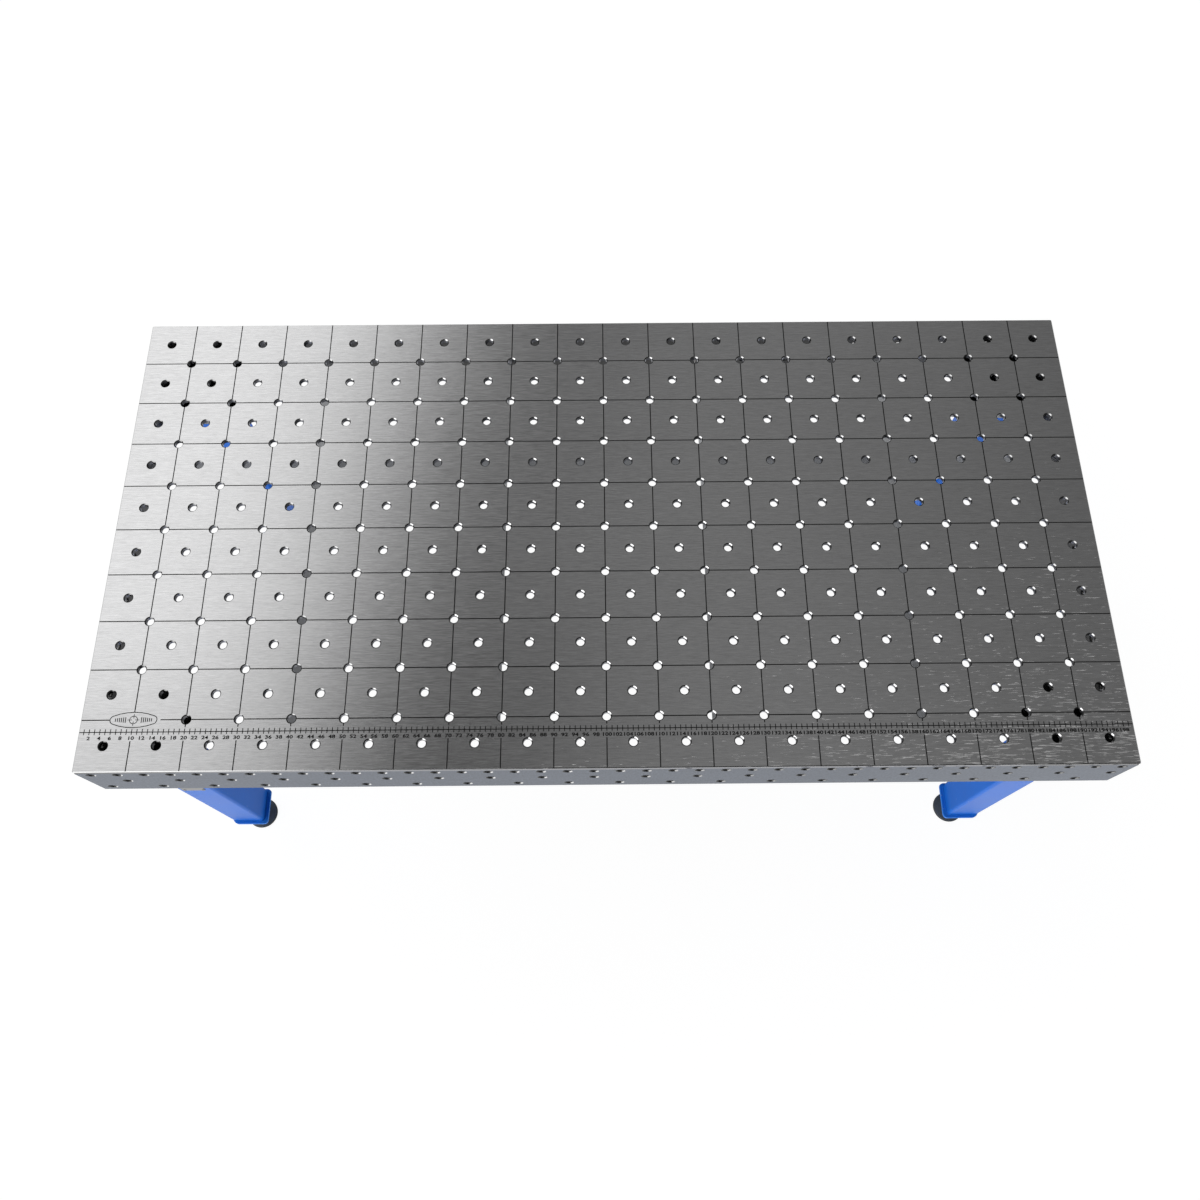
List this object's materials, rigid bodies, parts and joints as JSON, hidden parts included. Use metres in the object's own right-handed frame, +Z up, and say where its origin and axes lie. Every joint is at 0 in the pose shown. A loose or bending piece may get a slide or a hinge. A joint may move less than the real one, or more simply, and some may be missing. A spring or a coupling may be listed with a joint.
{
  "type": "welding table",
  "caption": "Perforated steel welding table with drilled skirts, scribed grid and front scale, on square legs with screw levelling feet.",
  "frame": {"origin": "on the floor under the middle of the table", "axes": "+X along the length to the right, +Y to the rear, +Z up; the edge with the scale faces -Y"},
  "size_m": [2, 1, 0.9],
  "materials": {
    "ground_steel": "ground and lightly brushed along the length",
    "blasted_steel": "fine blasted grey",
    "mill_steel": "dark mill finish",
    "blue_powder_coat": "satin powder coat",
    "zinc_steel": "bright zinc plated",
    "bronze_bush": "turned bronze",
    "dark_foot": "dark grey coated steel",
    "rubber": "moulded",
    "aluminium": "satin anodised"
  },
  "bodies": {
    "frame": {"table_top": "ground_steel", "front_skirt": "blasted_steel", "rear_skirt": "blasted_steel", "left_skirt": "blasted_steel", "right_skirt": "blasted_steel", "left_outer_rib": "mill_steel", "left_inner_rib": "mill_steel", "right_inner_rib": "mill_steel", "right_outer_rib": "mill_steel", "longitudinal_rib": "mill_steel", "corner_gussets": "mill_steel", "front_left_mount_plate": "mill_steel", "front_left_leg_tube": "blue_powder_coat", "front_left_leg_flange": "blue_powder_coat", "front_left_leg_base": "blue_powder_coat", "front_right_mount_plate": "mill_steel", "front_right_leg_tube": "blue_powder_coat", "front_right_leg_flange": "blue_powder_coat", "front_right_leg_base": "blue_powder_coat", "rear_left_mount_plate": "mill_steel", "rear_left_leg_tube": "blue_powder_coat", "rear_left_leg_flange": "blue_powder_coat", "rear_left_leg_base": "blue_powder_coat", "rear_right_mount_plate": "mill_steel", "rear_right_leg_tube": "blue_powder_coat", "rear_right_leg_flange": "blue_powder_coat", "rear_right_leg_base": "blue_powder_coat", "leg_bolts": "zinc_steel", "leg_bolt_washers": "zinc_steel", "leg_bolt_nuts": "zinc_steel", "foot_weld_nuts": "mill_steel", "id_plate": "aluminium", "id_plate_rivets": "aluminium"},
    "front_left_swivel": {"front_left_foot_ball": "bronze_bush"},
    "front_left_screw": {"front_left_spindle": "zinc_steel"},
    "front_left_foot": {"front_left_foot_disc": "dark_foot", "front_left_foot_pad": "rubber"},
    "front_left_washer": {"front_left_lock_washer": "zinc_steel"},
    "front_left_nut": {"front_left_lock_nut": "zinc_steel"},
    "front_right_swivel": {"front_right_foot_ball": "bronze_bush"},
    "front_right_screw": {"front_right_spindle": "zinc_steel"},
    "front_right_foot": {"front_right_foot_disc": "dark_foot", "front_right_foot_pad": "rubber"},
    "front_right_washer": {"front_right_lock_washer": "zinc_steel"},
    "front_right_nut": {"front_right_lock_nut": "zinc_steel"},
    "rear_left_swivel": {"rear_left_foot_ball": "bronze_bush"},
    "rear_left_screw": {"rear_left_spindle": "zinc_steel"},
    "rear_left_foot": {"rear_left_foot_disc": "dark_foot", "rear_left_foot_pad": "rubber"},
    "rear_left_washer": {"rear_left_lock_washer": "zinc_steel"},
    "rear_left_nut": {"rear_left_lock_nut": "zinc_steel"},
    "rear_right_swivel": {"rear_right_foot_ball": "bronze_bush"},
    "rear_right_screw": {"rear_right_spindle": "zinc_steel"},
    "rear_right_foot": {"rear_right_foot_disc": "dark_foot", "rear_right_foot_pad": "rubber"},
    "rear_right_washer": {"rear_right_lock_washer": "zinc_steel"},
    "rear_right_nut": {"rear_right_lock_nut": "zinc_steel"}
  },
  "joints": [
    {"name": "front_left_level_height", "type": "slide", "parent": "frame", "child": "front_left_swivel", "axis": [0, 0, 1], "range_m": [-0.034, 0.04]},
    {"name": "front_left_level_turn", "type": "hinge", "parent": "front_left_swivel", "child": "front_left_screw", "pos_m": [-0.9137, -0.412, 0.1], "axis": [0, 0, 1], "range_deg": [-6121, 7201]},
    {"name": "front_left_foot_tilt", "type": "hinge", "parent": "front_left_swivel", "child": "front_left_foot", "pos_m": [-0.9137, -0.412, 0.019], "axis": [1, 0, 0], "range_deg": [-8, 8]},
    {"name": "front_left_lock_washer_travel", "type": "slide", "parent": "frame", "child": "front_left_washer", "axis": [0, 0, 1], "range_m": [-0.012, 0]},
    {"name": "front_left_lock_nut_turn", "type": "hinge", "parent": "front_left_washer", "child": "front_left_nut", "pos_m": [-0.9137, -0.412, 0.1], "axis": [0, 0, 1], "range_deg": [-2161, 0]},
    {"name": "front_right_level_height", "type": "slide", "parent": "frame", "child": "front_right_swivel", "axis": [0, 0, 1], "range_m": [-0.034, 0.04]},
    {"name": "front_right_level_turn", "type": "hinge", "parent": "front_right_swivel", "child": "front_right_screw", "pos_m": [0.9137, -0.412, 0.1], "axis": [0, 0, 1], "range_deg": [-6121, 7201]},
    {"name": "front_right_foot_tilt", "type": "hinge", "parent": "front_right_swivel", "child": "front_right_foot", "pos_m": [0.9137, -0.412, 0.019], "axis": [1, 0, 0], "range_deg": [-8, 8]},
    {"name": "front_right_lock_washer_travel", "type": "slide", "parent": "frame", "child": "front_right_washer", "axis": [0, 0, 1], "range_m": [-0.012, 0]},
    {"name": "front_right_lock_nut_turn", "type": "hinge", "parent": "front_right_washer", "child": "front_right_nut", "pos_m": [0.9137, -0.412, 0.1], "axis": [0, 0, 1], "range_deg": [-2161, 0]},
    {"name": "rear_left_level_height", "type": "slide", "parent": "frame", "child": "rear_left_swivel", "axis": [0, 0, 1], "range_m": [-0.034, 0.04]},
    {"name": "rear_left_level_turn", "type": "hinge", "parent": "rear_left_swivel", "child": "rear_left_screw", "pos_m": [-0.9137, 0.412, 0.1], "axis": [0, 0, 1], "range_deg": [-6121, 7201]},
    {"name": "rear_left_foot_tilt", "type": "hinge", "parent": "rear_left_swivel", "child": "rear_left_foot", "pos_m": [-0.9137, 0.412, 0.019], "axis": [1, 0, 0], "range_deg": [-8, 8]},
    {"name": "rear_left_lock_washer_travel", "type": "slide", "parent": "frame", "child": "rear_left_washer", "axis": [0, 0, 1], "range_m": [-0.012, 0]},
    {"name": "rear_left_lock_nut_turn", "type": "hinge", "parent": "rear_left_washer", "child": "rear_left_nut", "pos_m": [-0.9137, 0.412, 0.1], "axis": [0, 0, 1], "range_deg": [-2161, 0]},
    {"name": "rear_right_level_height", "type": "slide", "parent": "frame", "child": "rear_right_swivel", "axis": [0, 0, 1], "range_m": [-0.034, 0.04]},
    {"name": "rear_right_level_turn", "type": "hinge", "parent": "rear_right_swivel", "child": "rear_right_screw", "pos_m": [0.9137, 0.412, 0.1], "axis": [0, 0, 1], "range_deg": [-6121, 7201]},
    {"name": "rear_right_foot_tilt", "type": "hinge", "parent": "rear_right_swivel", "child": "rear_right_foot", "pos_m": [0.9137, 0.412, 0.019], "axis": [1, 0, 0], "range_deg": [-8, 8]},
    {"name": "rear_right_lock_washer_travel", "type": "slide", "parent": "frame", "child": "rear_right_washer", "axis": [0, 0, 1], "range_m": [-0.012, 0]},
    {"name": "rear_right_lock_nut_turn", "type": "hinge", "parent": "rear_right_washer", "child": "rear_right_nut", "pos_m": [0.9137, 0.412, 0.1], "axis": [0, 0, 1], "range_deg": [-2161, 0]}
  ],
  "couplings": [
    {"joint": "front_left_level_turn", "follows": "front_left_level_height", "rad_per_m": 3141.6},
    {"joint": "front_left_lock_nut_turn", "follows": "front_left_lock_washer_travel", "rad_per_m": 3141.6},
    {"joint": "front_right_level_turn", "follows": "front_right_level_height", "rad_per_m": 3141.6},
    {"joint": "front_right_lock_nut_turn", "follows": "front_right_lock_washer_travel", "rad_per_m": 3141.6},
    {"joint": "rear_left_level_turn", "follows": "rear_left_level_height", "rad_per_m": 3141.6},
    {"joint": "rear_left_lock_nut_turn", "follows": "rear_left_lock_washer_travel", "rad_per_m": 3141.6},
    {"joint": "rear_right_level_turn", "follows": "rear_right_level_height", "rad_per_m": 3141.6},
    {"joint": "rear_right_lock_nut_turn", "follows": "rear_right_lock_washer_travel", "rad_per_m": 3141.6}
  ]
}
